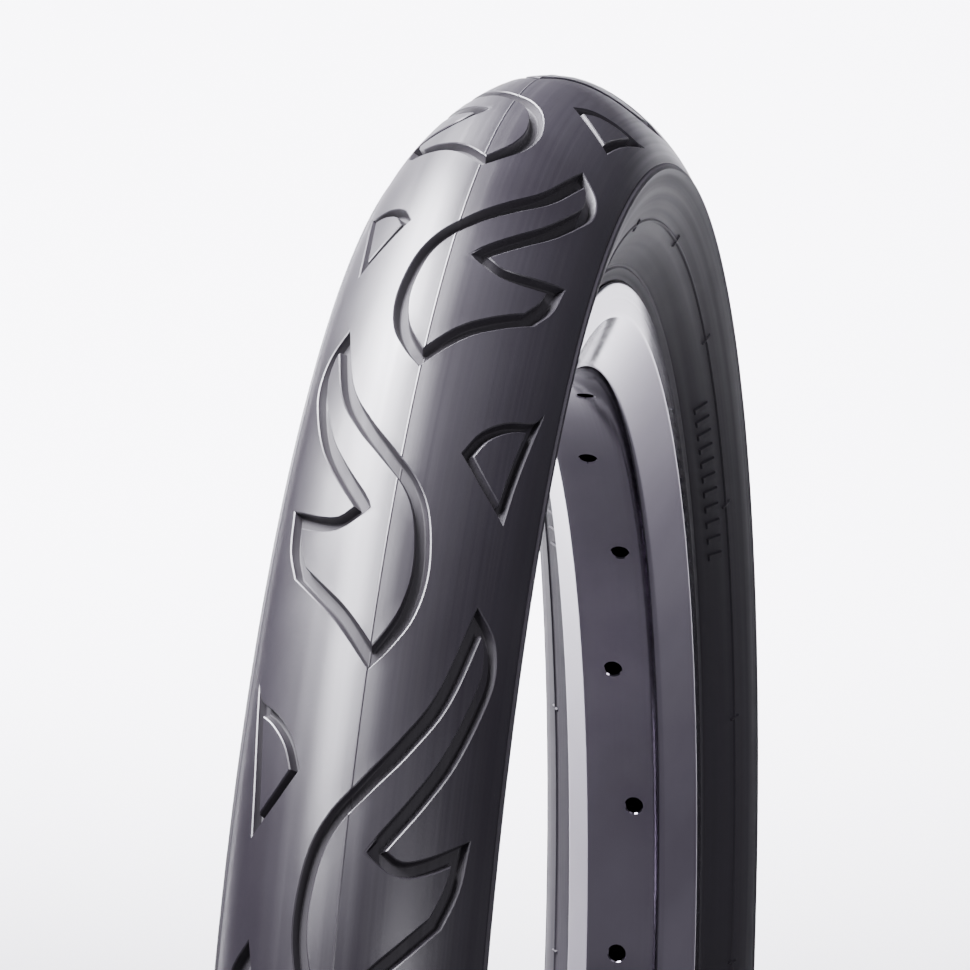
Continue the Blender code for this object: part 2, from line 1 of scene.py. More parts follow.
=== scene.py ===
"""The looks of a wide 20 inch bicycle tyre on its polished rim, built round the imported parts.

The axle lies along +Y and +Z is up. A place on the wheel is given by its turn, in radians from the
top towards -X, and by its radius and its width, which is its Y. On the tyre's skin an arc takes the
place of radius and width: the distance over the skin from the middle of the crown, positive
towards +Y. Every ring is one slice that a Geometry Nodes tree repeats round the axle.
"""

import math

import bmesh
import bpy
import numpy as np
from mathutils import Matrix, Vector
from mathutils.geometry import delaunay_2d_cdt


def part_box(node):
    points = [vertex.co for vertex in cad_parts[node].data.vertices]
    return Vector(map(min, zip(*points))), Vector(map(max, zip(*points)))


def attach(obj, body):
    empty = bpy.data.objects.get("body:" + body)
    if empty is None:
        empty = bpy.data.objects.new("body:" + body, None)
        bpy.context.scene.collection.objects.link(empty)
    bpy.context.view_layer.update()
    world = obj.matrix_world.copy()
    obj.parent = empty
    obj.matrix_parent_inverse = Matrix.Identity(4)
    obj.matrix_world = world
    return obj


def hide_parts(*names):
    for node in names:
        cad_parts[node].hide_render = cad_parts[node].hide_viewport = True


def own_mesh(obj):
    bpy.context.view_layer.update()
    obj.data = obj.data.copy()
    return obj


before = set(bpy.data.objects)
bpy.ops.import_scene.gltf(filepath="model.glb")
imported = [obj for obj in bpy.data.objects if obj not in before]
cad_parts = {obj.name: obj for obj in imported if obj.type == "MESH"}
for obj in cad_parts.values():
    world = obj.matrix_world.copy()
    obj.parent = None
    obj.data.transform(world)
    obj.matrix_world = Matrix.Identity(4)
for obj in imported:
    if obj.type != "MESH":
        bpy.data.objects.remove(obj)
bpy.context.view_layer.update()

MM = 0.001
FULL_TURN = 2 * math.pi
AXLE = (0, 1, 0)
VALVE_AXIS = (0, 0, 1)

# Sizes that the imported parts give
CROWN_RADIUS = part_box("tread")[1].z
HALF_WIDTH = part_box("sidewall_left")[1].y
FLANGE_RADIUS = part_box("rim")[1].z
RIM_HALF_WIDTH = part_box("rim")[1].y
STEM_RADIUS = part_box("valve_barrel")[1].x
BARREL_LOW, BARREL_HIGH = (corner.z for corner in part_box("valve_barrel"))
CAP_LOW, CAP_HIGH = (corner.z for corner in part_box("valve_cap"))
SPRING_LOW, SPRING_HIGH = (corner.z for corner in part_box("core_spring"))

# The tyre's skin
WIDEST_RADIUS = CROWN_RADIUS - 21.5 * MM
CROWN_POWER = 1.39
CROWN_SOFTNESS = 6 * MM
FOOT_RADIUS = FLANGE_RADIUS + 4.5 * MM
FOOT_WIDTH = RIM_HALF_WIDTH + 0.4 * MM
SIDE_POWER = 1.5
HEM_RADIUS = FLANGE_RADIUS + 0.4 * MM
HEM_WIDTH = RIM_HALF_WIDTH - 0.75 * MM
TREAD_EDGE_RADIUS = WIDEST_RADIUS + 1.8 * MM
MOULD_LINE_RADIUS = WIDEST_RADIUS - 12.1 * MM
TREAD_DEPTH = 4.4 * MM
SKIN_DEPTH = 1.2 * MM
HEM_DEPTH = 0.85 * MM

# The tread's pattern: flames to alternate sides, a fin between each two of a side
FLAMES = 20
CHANNEL_DEPTH = 2.2 * MM
FLAME_CHANNEL = 3.3 * MM
FIN_CHANNEL = 2.2 * MM
LIP = 0.25 * MM
WALL_RUN = 0.45 * MM
OUTLINE_STEP = 1.6 * MM
FIRST_TAIL = math.radians(27.3)
PARTING_RIDGE = 0.14 * MM
TREAD_STEPS = (3 * MM, 2 * MM)
UNDERSIDE_POINTS = 15
EDGE_THINNING = 0.7                # share of the half width over which the tread thins to its edge

# The sidewalls' relief
RELIEF_REPEATS = 5
SIDEWALL_STEPS = (3 * MM, 1.6 * MM)
BAR_HEIGHT = 0.45 * MM
BAR_SLOPE = 0.3 * MM
BARS = 11
FIRST_BAR = 20 * MM
BAR_PITCH = 6.2 * MM
BAR_WIDTH = 2.6 * MM
BAR_LEAN = 2.4 * MM
TICK_SHARES = (0.125, 0.375, 0.625, 0.875)
TICK_REACH = 1.8 * MM
TICK_WIDTH = 0.9 * MM

# The rim
RING_SLICES = 336
SPOKE_HOLES = 28
PAIRS = SPOKE_HOLES // 2
PAIR_STATIONS = RING_SLICES // PAIRS
SPOKE_HOLE_RADIUS = 2.2 * MM
NIPPLE_HOLE_RADIUS = 4.0 * MM
SPOKE_HOLE_OFFSET = 2.2 * MM
STEM_HOLE_RADIUS = 4.2 * MM
FLANGE_THICKNESS = 1.6 * MM
RIM_WALL = 1.6 * MM
SEAT_RADIUS = FLANGE_RADIUS - 5.7 * MM
WELL_RADIUS = FLANGE_RADIUS - 8.7 * MM
BED_RADIUS = FLANGE_RADIUS - 21 * MM
SEAT_EDGE = 10.2 * MM
WELL_EDGE = 9.2 * MM
BED_EDGE = 9.0 * MM
HOLLOW_FLOOR_EDGE = 8.5 * MM
BAND_STEP = 2 * MM

# The valve
CAP_RADIUS = 5.25 * MM
CAP_RIB = 0.35 * MM
CAP_RIBS = 12
CAP_RIB_STEPS = 8
CAP_BORE = 4.15 * MM
CAP_ROOF = CAP_HIGH - 1.1 * MM
THREAD_FOOT = -174.3 * MM
THREAD_PITCH = 0.794 * MM
THREAD_RIDGE = 0.3 * MM
SPRING_WIRE = 0.13 * MM
SPRING_TURNS = 7.5
TUBE_HOLE_SPAN = (-208 * MM, -200.5 * MM)
STRIP_HOLE_SPAN = (-203 * MM, -198 * MM)

# The camera
CAMERA_TURN = math.radians(-80.34)
CAMERA_RISE = math.radians(17.02)
CAMERA_DISTANCE = 1.7216
CAMERA_TARGET = Vector((0.0447, 0.0136, 0.1516))
CAMERA_LENS = 265.4


# ---------------- material nodes

def new_finish(name, metallic=0.0, specular=0.5):
    """A material with its Principled shader, and Object coordinates to read."""
    material = bpy.data.materials.new(name + "_finish")
    material.use_nodes = True
    shader = material.node_tree.nodes["Principled BSDF"]
    shader.inputs["Metallic"].default_value = metallic
    shader.inputs["Specular IOR Level"].default_value = specular
    return material, material.node_tree, shader


def add_node(tree, kind, links=None, values=None, **settings):
    """A node with its settings, its sockets' values by name or index, and its incoming links."""
    node = tree.nodes.new(kind)
    for key, value in settings.items():
        setattr(node, key, value)
    for key, value in (values or {}).items():
        node.inputs[key].default_value = value
    for key, source in (links or {}).items():
        tree.links.new(source, node.inputs[key])
    return node


def place_on_piece(tree, scale=(1, 1, 1)):
    """Object coordinates, stretched by the scale."""
    place = add_node(tree, "ShaderNodeTexCoord").outputs["Object"]
    return add_node(tree, "ShaderNodeMapping", {"Vector": place}, {"Scale": scale}).outputs[0]


def maths(tree, operation, first, second):
    node = tree.nodes.new("ShaderNodeMath")
    node.operation = operation
    for socket, value in zip(node.inputs, (first, second)):
        if isinstance(value, (int, float)):
            socket.default_value = value
        else:
            tree.links.new(value, socket)
    return node.outputs[0]


def noise(tree, place, scale, detail=3.0, roughness=0.5):
    values = {"Scale": scale, "Detail": detail, "Roughness": roughness}
    return add_node(tree, "ShaderNodeTexNoise", {"Vector": place}, values).outputs[0]


def spread(tree, source, low, high, from_low=0.3, from_high=0.7):
    """The source's middle range spread over low to high."""
    values = {"From Min": from_low, "From Max": from_high, "To Min": low, "To Max": high}
    return add_node(tree, "ShaderNodeMapRange", {"Value": source}, values).outputs[0]


def two_tone(tree, share, first, second):
    node = add_node(tree, "ShaderNodeMix", data_type="RGBA")
    tree.links.new(share, node.inputs["Factor"])
    node.inputs[6].default_value = (*first, 1)
    node.inputs[7].default_value = (*second, 1)
    return node.outputs[2]


def raise_by(tree, height, distance, strength=1.0, below=None):
    """A bump of the given height, on top of another bump."""
    links = {"Height": height}
    if below is not None:
        links["Normal"] = below
    values = {"Distance": distance, "Strength": strength}
    return add_node(tree, "ShaderNodeBump", links, values).outputs[0]


def connect(tree, shader, colour=None, roughness=None, bump=None):
    for name, source in (("Base Color", colour), ("Roughness", roughness), ("Normal", bump)):
        if source is not None:
            tree.links.new(source, shader.inputs[name])


def ring_streaks(tree, fineness, drift):
    """Noise drawn out round the wheel, as mould scratches and wiping leave it."""
    parts = add_node(tree, "ShaderNodeSeparateXYZ", {"Vector": place_on_piece(tree)})
    x, y, z = parts.outputs
    square = maths(tree, "ADD", maths(tree, "MULTIPLY", x, x), maths(tree, "MULTIPLY", z, z))
    radius = maths(tree, "SQRT", square, 0)
    across = maths(tree, "MULTIPLY", maths(tree, "ADD", y, radius), fineness)
    along_x = maths(tree, "MULTIPLY", x, drift)
    along_z = maths(tree, "MULTIPLY", z, drift)
    vector = add_node(tree, "ShaderNodeCombineXYZ", {"X": along_x, "Y": across, "Z": along_z})
    return noise(tree, vector.outputs[0], 1.0, 2.0)


def moulded_rubber(name, dark, light, rough_low, rough_high, grain, specular=0.5):
    """Black rubber from a steel mould: fine grain, wipe marks round the wheel, a little bloom.

    Where it is sunk its colour is darkened as painted shade in the channels, and it is matt.
    """
    material, tree, shader = new_finish(name, specular=specular)
    place = place_on_piece(tree)
    bloom = noise(tree, place, 14, 4)
    streaks = ring_streaks(tree, 700, 5)
    sunk = add_node(tree, "ShaderNodeAttribute", attribute_name="sunk").outputs["Fac"]
    # painted shade: the sunk share takes the colour towards the dark tone in the channels, where shade
    # falls
    tone_less_painted_shade = maths(tree, "SUBTRACT", spread(tree, bloom, 0, 1), sunk)
    colour = two_tone(tree, maths(tree, "MAXIMUM", tone_less_painted_shade, 0), dark, light)
    mixed = maths(tree, "ADD", maths(tree, "MULTIPLY", bloom, 0.5), maths(tree, "MULTIPLY", streaks, 0.5))
    matt = maths(tree, "MULTIPLY", sunk, 0.4)
    rough = maths(tree, "ADD", spread(tree, mixed, rough_low, rough_high), matt)
    roughness = maths(tree, "MINIMUM", rough, 1)
    fine = raise_by(tree, noise(tree, place, grain, 3), 0.02 * MM, 0.5)
    bump = raise_by(tree, streaks, 0.03 * MM, 0.35, fine)
    connect(tree, shader, colour, roughness, bump)
    return material


def cord_cloth(name, cord, rubber, pitch, lean):
    """Rubberised cords that run round the wheel at a lean, as ridges under a thin skin."""
    material, tree, shader = new_finish(name, specular=0.3)
    parts = add_node(tree, "ShaderNodeSeparateXYZ", {"Vector": place_on_piece(tree)})
    x, y, z = parts.outputs
    around = maths(tree, "MULTIPLY", maths(tree, "ARCTAN2", x, z), CROWN_RADIUS)
    bias = maths(tree, "ADD", maths(tree, "MULTIPLY", around, lean), y)
    wave = maths(tree, "SINE", maths(tree, "MULTIPLY", bias, FULL_TURN / pitch), 0)
    ridge = spread(tree, wave, 0, 1, -1, 1)
    blotch = noise(tree, place_on_piece(tree), 60, 4)
    share = maths(tree, "MULTIPLY", ridge, spread(tree, blotch, 0.5, 1))
    connect(tree, shader, two_tone(tree, share, rubber, cord), spread(tree, blotch, 0.6, 0.85),
            raise_by(tree, ridge, 0.1 * MM, 0.6))
    return material


def drawn_metal(name, dark, light, rough_low, rough_high, grain, stretch=(1, 1, 1)):
    """Metal with fine tool marks, drawn out by the stretch."""
    material, tree, shader = new_finish(name, metallic=1.0)
    marks = noise(tree, place_on_piece(tree, stretch), grain, 3)
    blotch = noise(tree, place_on_piece(tree), 45, 3)
    connect(tree, shader, two_tone(tree, spread(tree, blotch, 0, 1), dark, light),
            spread(tree, marks, rough_low, rough_high), raise_by(tree, marks, 0.01 * MM, 0.25))
    return material


def polished_rim_metal():
    """Aluminium polished on a wheel: near mirror, with faint rings and a slight haze. Its colour is a dark
    grey far below aluminium's, a painted dark reflection of surroundings.
    """
    material, tree, shader = new_finish("polished_aluminium_painted_dark", metallic=1.0)
    rings = ring_streaks(tree, 1600, 3)
    haze = noise(tree, place_on_piece(tree), 25, 3)
    # painted reflection: the dark grey tones stand in for dark surroundings seen in the polished rim; the
    # haze varies them at random
    colour = two_tone(tree, spread(tree, haze, 0, 1), (0.15, 0.135, 0.165), (0.2, 0.185, 0.215))
    share = maths(tree, "ADD", maths(tree, "MULTIPLY", rings, 0.5), maths(tree, "MULTIPLY", haze, 0.5))
    connect(tree, shader, colour, spread(tree, share, 0.05, 0.14),
            raise_by(tree, rings, 0.004 * MM, 0.2))
    return material


def moulded_plastic(name, colour, light):
    """Plain moulded plastic with a fine spark-eroded texture."""
    material, tree, shader = new_finish(name)
    grain = noise(tree, place_on_piece(tree), 2500, 3)
    blotch = noise(tree, place_on_piece(tree), 300, 3)
    connect(tree, shader, two_tone(tree, spread(tree, blotch, 0, 1), colour, light),
            spread(tree, grain, 0.35, 0.55), raise_by(tree, grain, 0.02 * MM, 0.4))
    return material


# ---------------- geometry nodes

def add_inputs(tree, inputs):
    for name, kind in inputs:
        tree.interface.new_socket(name, in_out="INPUT", socket_type=kind)
    tree.interface.new_socket("Piece", in_out="OUTPUT", socket_type="NodeSocketGeometry")
    return add_node(tree, "NodeGroupInput").outputs


def repeat_round_tree():
    """Copies of one slice, turned evenly about an axis, welded into one piece and given its finish."""
    tree = bpy.data.node_groups.new("repeat_round", "GeometryNodeTree")
    inputs = add_inputs(tree, (
        ("Slice", "NodeSocketGeometry"),
        ("Copies", "NodeSocketInt"),
        ("Axis", "NodeSocketVector"),
        ("Weld Distance", "NodeSocketFloat"),
        ("Finish", "NodeSocketMaterial"),
    ))
    points = add_node(tree, "GeometryNodePoints", {"Count": inputs["Copies"]})
    index = add_node(tree, "GeometryNodeInputIndex").outputs[0]
    angle = maths(tree, "MULTIPLY", index, maths(tree, "DIVIDE", FULL_TURN, inputs["Copies"]))
    turn = add_node(tree, "FunctionNodeAxisAngleToRotation", {"Axis": inputs["Axis"], "Angle": angle})
    copies = add_node(tree, "GeometryNodeInstanceOnPoints",
                      {"Points": points.outputs[0], "Instance": inputs["Slice"],
                       "Rotation": turn.outputs[0]})
    solid = add_node(tree, "GeometryNodeRealizeInstances", {0: copies.outputs[0]})
    welded = add_node(tree, "GeometryNodeMergeByDistance",
                      {"Geometry": solid.outputs[0], "Distance": inputs["Weld Distance"]})
    finished = add_node(tree, "GeometryNodeSetMaterial",
                        {"Geometry": welded.outputs[0], "Material": inputs["Finish"]})
    add_node(tree, "NodeGroupOutput", {0: finished.outputs[0]})
    return tree


def coil_tree():
    """A coil of round wire: a helix swept by a small circle."""
    tree = bpy.data.node_groups.new("wire_coil", "GeometryNodeTree")
    inputs = add_inputs(tree, (
        ("Coil Radius", "NodeSocketFloat"),
        ("Wire Radius", "NodeSocketFloat"),
        ("Wire Sides", "NodeSocketInt"),
        ("Height", "NodeSocketFloat"),
        ("Turns", "NodeSocketFloat"),
        ("Foot", "NodeSocketVector"),
        ("Finish", "NodeSocketMaterial"),
    ))
    helix = add_node(tree, "GeometryNodeCurveSpiral",
                     {"Rotations": inputs["Turns"], "Start Radius": inputs["Coil Radius"],
                      "End Radius": inputs["Coil Radius"], "Height": inputs["Height"]},
                     {"Resolution": 28})
    wire = add_node(tree, "GeometryNodeCurvePrimitiveCircle",
                    {"Radius": inputs["Wire Radius"], "Resolution": inputs["Wire Sides"]})
    swept = add_node(tree, "GeometryNodeCurveToMesh",
                     {"Curve": helix.outputs[0], "Profile Curve": wire.outputs[0]}, {"Fill Caps": True})
    placed = add_node(tree, "GeometryNodeTransform",
                      {"Geometry": swept.outputs[0], "Translation": inputs["Foot"]})
    solid = add_node(tree, "GeometryNodeRealizeInstances", {0: placed.outputs[0]})
    finished = add_node(tree, "GeometryNodeSetMaterial",
                        {"Geometry": solid.outputs[0], "Material": inputs["Finish"]})
    add_node(tree, "NodeGroupOutput", {0: finished.outputs[0]})
    return tree


def made_by_tree(tree, mesh, values):
    """The plain mesh that the tree makes of the given one."""
    maker = bpy.data.objects.new("maker", mesh)
    bpy.context.scene.collection.objects.link(maker)
    modifier = maker.modifiers.new("tree", "NODES")
    modifier.node_group = tree
    for item in tree.interface.items_tree:
        if item.in_out == "INPUT" and item.name in values:
            modifier[item.identifier] = values[item.name]
    bpy.context.view_layer.update()
    graph = bpy.context.evaluated_depsgraph_get()
    made = bpy.data.meshes.new_from_object(maker.evaluated_get(graph), depsgraph=graph)
    bpy.data.objects.remove(maker)
    made.materials.clear()
    made.materials.append(values["Finish"])
    made.polygons.foreach_set("material_index", [0] * len(made.polygons))
    return made


# ---------------- meshes and pieces

def slice_mesh(points, faces, sunk=None):
    """A smooth mesh, which may carry how far each of its first points is sunk, from 0 to 1."""
    mesh = bpy.data.meshes.new("slice")
    mesh.from_pydata(np.asarray(points).tolist(), [], [list(map(int, face)) for face in faces])
    mesh.polygons.foreach_set("use_smooth", [True] * len(mesh.polygons))
    if sunk is not None:
        values = np.zeros(len(mesh.vertices))
        values[:len(sunk)] = sunk
        mesh.attributes.new("sunk", "FLOAT", "POINT").data.foreach_set("value", values)
    return mesh


def repeated(mesh, copies, finish, axis=AXLE):
    values = {"Copies": copies, "Axis": axis, "Weld Distance": 0.004 * MM, "Finish": finish}
    return made_by_tree(REPEAT_ROUND, mesh, values)


def face_out(mesh, even=False):
    """Closed bodies with every face turned outwards. An even mesh already has all its faces one way."""
    bm = bmesh.new()
    bm.from_mesh(mesh)
    loose = [vert for vert in bm.verts if not vert.link_faces]
    bmesh.ops.delete(bm, geom=loose, context="VERTS")
    bmesh.ops.dissolve_degenerate(bm, dist=0.0005 * MM, edges=bm.edges)
    if not even:
        bmesh.ops.recalc_face_normals(bm, faces=bm.faces)
    if bm.calc_volume(signed=True) < 0:
        bmesh.ops.reverse_faces(bm, faces=bm.faces)
    bm.to_mesh(mesh)
    bm.free()


def add_piece(name, mesh, body, replaced, sharp_angle=30):
    """A finished piece: its place is in its mesh, and it rides on its body."""
    mesh.name = name
    face_out(mesh)
    mesh.set_sharp_from_angle(angle=math.radians(sharp_angle))
    piece = bpy.data.objects.new(name, mesh)
    bpy.context.scene.collection.objects.link(piece)
    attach(piece, body)
    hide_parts(replaced)
    return piece


def joined_meshes(first, second):
    """Both meshes as one, with the first one's material."""
    bm = bmesh.new()
    bm.from_mesh(first)
    bm.from_mesh(second)
    bm.to_mesh(first)
    bm.free()
    return first


def bored(mesh, radius, low, high):
    """The mesh with a round hole along the valve's axis, from low to high."""
    drill_mesh = bpy.data.meshes.new("drill")
    bm = bmesh.new()
    middle = Matrix.Translation((0, 0, (low + high) / 2))
    bmesh.ops.create_cone(bm, cap_ends=True, segments=48, radius1=radius, radius2=radius,
                          depth=high - low, matrix=middle)
    bm.to_mesh(drill_mesh)
    bm.free()
    drill = bpy.data.objects.new("drill", drill_mesh)
    blank = bpy.data.objects.new("blank", mesh)
    for obj in (drill, blank):
        bpy.context.scene.collection.objects.link(obj)
    hole = blank.modifiers.new("hole", "BOOLEAN")
    hole.operation = "DIFFERENCE"
    hole.object = drill
    bpy.context.view_layer.update()
    graph = bpy.context.evaluated_depsgraph_get()
    made = bpy.data.meshes.new_from_object(blank.evaluated_get(graph), depsgraph=graph)
    for obj in (drill, blank):
        bpy.data.objects.remove(obj)
    return made


# ---------------- flat patterns

def smooth_run(controls, step):
    """Points about a step apart on a smooth curve through the controls, without the last one."""
    controls = np.array(controls, float)
    padded = np.vstack([2 * controls[0] - controls[1], controls, 2 * controls[-1] - controls[-2]])
    run = []
    for before, start, end, after in zip(padded, padded[1:], padded[2:], padded[3:]):
        count = max(1, round(np.linalg.norm(end - start) / step))
        for share in np.arange(count) / count:
            run.append(0.5 * (2 * start + (end - before) * share
                              + (2 * before - 5 * start + 4 * end - after) * share ** 2
                              + (3 * start - before - 3 * end + after) * share ** 3))
    return run


def outline_of(runs, step=OUTLINE_STEP):
    """One closed outline made of smooth runs that meet in corners."""
    return np.array([point for run in runs for point in smooth_run(run, step)])


def offset_line(outline, distance):
    """The outline moved inwards by the distance, with its corners kept sharp."""
    before = outline - np.roll(outline, 1, 0)
    after = np.roll(outline, -1, 0) - outline
    inward = 1 if signed_area(outline) > 0 else -1
    normals = []
    for edge in (before, after):
        edge = edge / np.linalg.norm(edge, axis=1, keepdims=True)
        normals.append(inward * np.stack([-edge[:, 1], edge[:, 0]], 1))
    middle = normals[0] + normals[1]
    middle /= np.linalg.norm(middle, axis=1, keepdims=True)
    stretch = 1 / np.maximum(0.25, np.sum(middle * normals[0], axis=1, keepdims=True))
    return outline + middle * stretch * distance


def inside_distance(points, outline):
    """How far each point lies inside the outline; outside it the distance is negative."""
    result = np.full(len(points), -np.inf)
    margin = 3 * LIP
    near = np.all((points > outline.min(0) - margin) & (points < outline.max(0) + margin), axis=1)
    start = outline
    end = np.roll(outline, -1, 0)
    edge = end - start
    offset = points[near][:, None] - start[None]
    share = np.clip(np.sum(offset * edge, 2) / np.sum(edge * edge, 1), 0, 1)
    distance = np.linalg.norm(offset - share[..., None] * edge, axis=2).min(1)
    y = points[near][:, None, 1]
    x = points[near][:, None, 0]
    spans = (start[:, 1] > y) != (end[:, 1] > y)
    rise = np.where(np.abs(edge[:, 1]) < 1e-12, 1e-12, edge[:, 1])
    crossings = np.sum(spans & (x < start[:, 0] + edge[:, 0] * (y - start[:, 1]) / rise), 1)
    result[near] = np.where(crossings % 2 == 1, distance, -distance)
    return result


def strip_rim(length, low, high, columns, rows):
    """The strip's own four edges as one closed line."""
    along = np.linspace(0, length, columns + 1)
    across = np.linspace(low, high, rows + 1)
    return np.array(
        [(a, low) for a in along[:-1]] + [(length, s) for s in across[:-1]]
        + [(a, high) for a in along[:0:-1]] + [(0, s) for s in across[:0:-1]])


def patterned_strip(length, low, high, lines, open_lines, along_step, across_step):
    """Triangles over one repeat of a strip, with edges along every line of its pattern.

    The lines are closed; each goes on into the repeats before and after this one. The open lines
    run the strip's whole length.
    """
    columns = round(length / along_step)
    rows = round((high - low) / across_step)
    points = []
    edges = []

    def add(line, closed=True):
        first = len(points)
        points.extend(map(tuple, line))
        count = len(line)
        edge_count = count if closed else count - 1
        edges.extend((first + i, first + (i + 1) % count) for i in range(edge_count))

    add(strip_rim(length, low, high, columns, rows))
    for across in open_lines:
        add([(a, across) for a in np.linspace(0, length, columns + 1)], closed=False)
    for line in lines:
        for shift in (-length, 0, length):
            moved = line + (shift, 0)
            if moved[:, 0].max() > 0 and moved[:, 0].min() < length:
                add(moved)
    taken = np.array(points)
    along = np.arange(1, columns) * length / columns
    across = low + np.arange(1, rows) * (high - low) / rows
    grid = np.array([(a, s) for a in along for s in across])
    reach = 0.45 * min(along_step, across_step)
    gaps = np.array([np.min(np.sum((taken - point) ** 2, 1)) for point in grid])
    points.extend(map(tuple, grid[gaps > reach ** 2]))

    found = delaunay_2d_cdt([Vector(point) for point in points], edges, [], 0, 1e-7)
    corners = np.array([tuple(point) for point in found[0]])
    faces = np.array([list(face) for face in found[2]])
    middle = corners[faces].mean(1)
    kept = faces[np.all((middle > (0, low)) & (middle < (length, high)), axis=1)]
    used, index = np.unique(kept, return_inverse=True)
    return corners[used], index.reshape(-1, 3)


def swept_path(along, path, place):
    """Quads between neighbouring stations along the wheel, on a path of (across, depth) points."""
    points = [place(a, across, depth) for a in along for across, depth in path]
    width = len(path)
    faces = []
    for station in range(len(along) - 1):
        for i in range(width - 1):
            corner = station * width + i
            faces.append((corner, corner + 1, corner + 1 + width, corner + width))
    return np.array(points).reshape(-1, 3), faces


def joined(parts):
    """Several (points, faces) as one."""
    points = []
    faces = []
    count = 0
    for part_points, part_faces in parts:
        faces += [[int(i) + count for i in face] for face in part_faces]
        points.append(np.asarray(part_points))
        count += len(part_points)
    return np.vstack(points), faces


# ---------------- the tyre's skin

def skin_section():
    """Points from the crown to the hem, with the arc, radius, width and outward direction of each."""
    spread_width = HALF_WIDTH * np.sin(np.linspace(0, math.pi / 2, 400))
    soft = np.hypot(spread_width, CROWN_SOFTNESS) - CROWN_SOFTNESS
    share = np.clip(soft / soft[-1], 0, 1)
    rise = (1 - share ** CROWN_POWER) ** (1 / CROWN_POWER)
    crown = WIDEST_RADIUS + (CROWN_RADIUS - WIDEST_RADIUS) * rise
    drop = np.linspace(0, 1, 100)[1:]
    side = WIDEST_RADIUS - (WIDEST_RADIUS - FOOT_RADIUS) * drop
    side_width = HALF_WIDTH - (HALF_WIDTH - FOOT_WIDTH) * drop ** SIDE_POWER
    hem = np.linspace(0, 1, 12)[1:]
    hem_radius = FOOT_RADIUS + (HEM_RADIUS - FOOT_RADIUS) * hem
    hem_width = FOOT_WIDTH + (HEM_WIDTH - FOOT_WIDTH) * hem
    radius = np.concatenate([crown, side, hem_radius])
    width = np.concatenate([spread_width, side_width, hem_width])
    arc = np.concatenate([[0], np.cumsum(np.hypot(np.diff(radius), np.diff(width)))])
    run_radius = np.gradient(radius, arc)
    run_width = np.gradient(width, arc)
    length = np.hypot(run_radius, run_width)
    return arc, radius, width, run_width / length, -run_radius / length


SKIN = skin_section()


def arc_at_radius(radius):
    """The arc where the skin has this radius."""
    return float(np.interp(-radius, -SKIN[1], SKIN[0]))


def on_skin(turn, arc, depth=0.0):
    """The point that lies depth below the skin."""
    turn, arc, depth = np.broadcast_arrays(turn, arc, depth)
    radius, width, out_radius, out_width = (np.interp(np.abs(arc), SKIN[0], row) for row in SKIN[1:])
    radius = radius - out_radius * depth
    width = np.where(arc < 0, -1, 1) * (width - out_width * depth)
    return np.stack([-radius * np.sin(turn), width, radius * np.cos(turn)], -1)


TREAD_EDGE = arc_at_radius(TREAD_EDGE_RADIUS)
MOULD_LINE = arc_at_radius(MOULD_LINE_RADIUS)
HEM_EDGE = float(SKIN[0][-1])


# ---------------- the tread

def flame_outline():
    """A flame with its tail on the crown and two tongues towards its own side, as (along, across)."""
    runs = [
        [(0, -0.3), (4.9, -4), (13.5, -8.2), (25.1, -9.9), (38.6, -8.2), (47.5, -4.4), (55.6, 1.8),
         (65.5, 9), (78.9, 16.2), (102, 22.6)],
        [(102, 22.6), (96, 28), (87, 29.5), (76.3, 27), (62.8, 22), (52, 16), (40.8, 8.6)],
        [(40.8, 8.6), (39, 12.5), (41.3, 18.6), (47.5, 28.2)],
        [(47.5, 28.2), (35.9, 26.6), (26.5, 22.9)],
        [(26.5, 22.9), (18.8, 15.4), (11.7, 8.6), (0, -0.3)],
    ]
    return outline_of([[(a * MM, s * MM) for a, s in run] for run in runs])


def fin_outline():
    """A small curved triangle that fills the gap behind a flame's tail on the same side."""
    runs = [
        [(1.8, 30.8), (-2.7, 28.4), (-8.1, 21.6), (-14.6, 16.2), (-22.4, 12.8)],
        [(-22.4, 12.8), (-29, 18.6), (-35.4, 25.4)],
        [(-35.4, 25.4), (-20.6, 27.2), (1.8, 30.8)],
    ]
    return outline_of([[(a * MM, s * MM) for a, s in run] for run in runs])


def channel_depth(inside, width):
    """Depth of a channel that runs just inside an outline, with a soft lip and sloping walls."""
    stations = [-LIP, 0, WALL_RUN, WALL_RUN + LIP]
    depths = [0, 0.1, 0.9, 1]
    stations += [width - station for station in reversed(stations)]
    depths += depths[::-1]
    return CHANNEL_DEPTH * np.interp(inside, stations, depths, left=0, right=0)


def channel_lines(outline, width):
    """The lines on which a channel's slope changes."""
    distances = (-LIP, 0, WALL_RUN, WALL_RUN + LIP)
    distances += tuple(width - distance for distance in reversed(distances))
    return [offset_line(outline, distance) for distance in distances]


